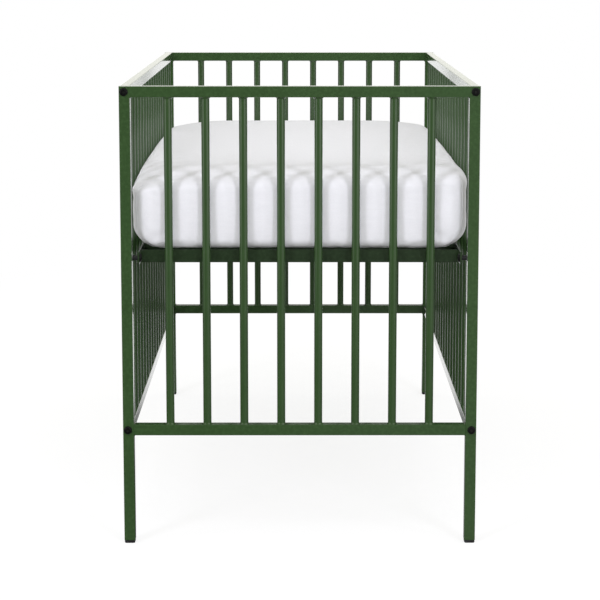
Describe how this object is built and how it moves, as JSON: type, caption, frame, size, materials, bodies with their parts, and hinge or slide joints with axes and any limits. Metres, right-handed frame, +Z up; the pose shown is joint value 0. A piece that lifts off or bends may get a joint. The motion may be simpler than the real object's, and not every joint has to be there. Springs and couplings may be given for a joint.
{
  "type": "baby cot",
  "caption": "Powder coated steel cot with slatted ends and sides, a bolted bed base and a thick mattress in a white fitted sheet.",
  "frame": {"origin": "on the floor, under the middle of the cot", "axes": "+Z up, the cot's long axis along Y with the front end panel at negative Y, its width along X"},
  "size_m": [0.65, 1.258, 0.847],
  "materials": {
    "frame_steel": "satin",
    "base_steel": "satin",
    "black_bolts": "satin",
    "zinc_nuts": "satin",
    "black_feet": "matte",
    "mattress_ticking": "matte",
    "cotton_sheet": "matte"
  },
  "bodies": {
    "cot": {"front_left_leg": "frame_steel", "front_right_leg": "frame_steel", "front_top_rail": "frame_steel", "front_bottom_rail": "frame_steel", "front_slats": "frame_steel", "back_left_leg": "frame_steel", "back_right_leg": "frame_steel", "back_top_rail": "frame_steel", "back_bottom_rail": "frame_steel", "back_slats": "frame_steel", "left_top_rail": "frame_steel", "left_bottom_rail": "frame_steel", "left_slats": "frame_steel", "right_top_rail": "frame_steel", "right_bottom_rail": "frame_steel", "right_slats": "frame_steel", "left_rail_nuts": "zinc_nuts", "right_rail_nuts": "zinc_nuts", "front_frame_bolts": "black_bolts", "back_frame_bolts": "black_bolts", "front_left_foot": "black_feet", "front_right_foot": "black_feet", "back_left_foot": "black_feet", "back_right_foot": "black_feet", "base_left_rail": "base_steel", "base_right_rail": "base_steel", "base_front_bar": "base_steel", "base_back_bar": "base_steel", "base_slats": "base_steel", "base_bolts": "black_bolts", "base_spacers": "black_feet", "leg_nuts": "zinc_nuts"},
    "bedding": {"mattress": "mattress_ticking", "fitted_sheet": "cotton_sheet"}
  },
  "joints": [
    {"name": "mattress_lift", "type": "slide", "parent": "cot", "child": "bedding", "axis": [0, 0, 1], "range_m": [0, 0.32]}
  ]
}
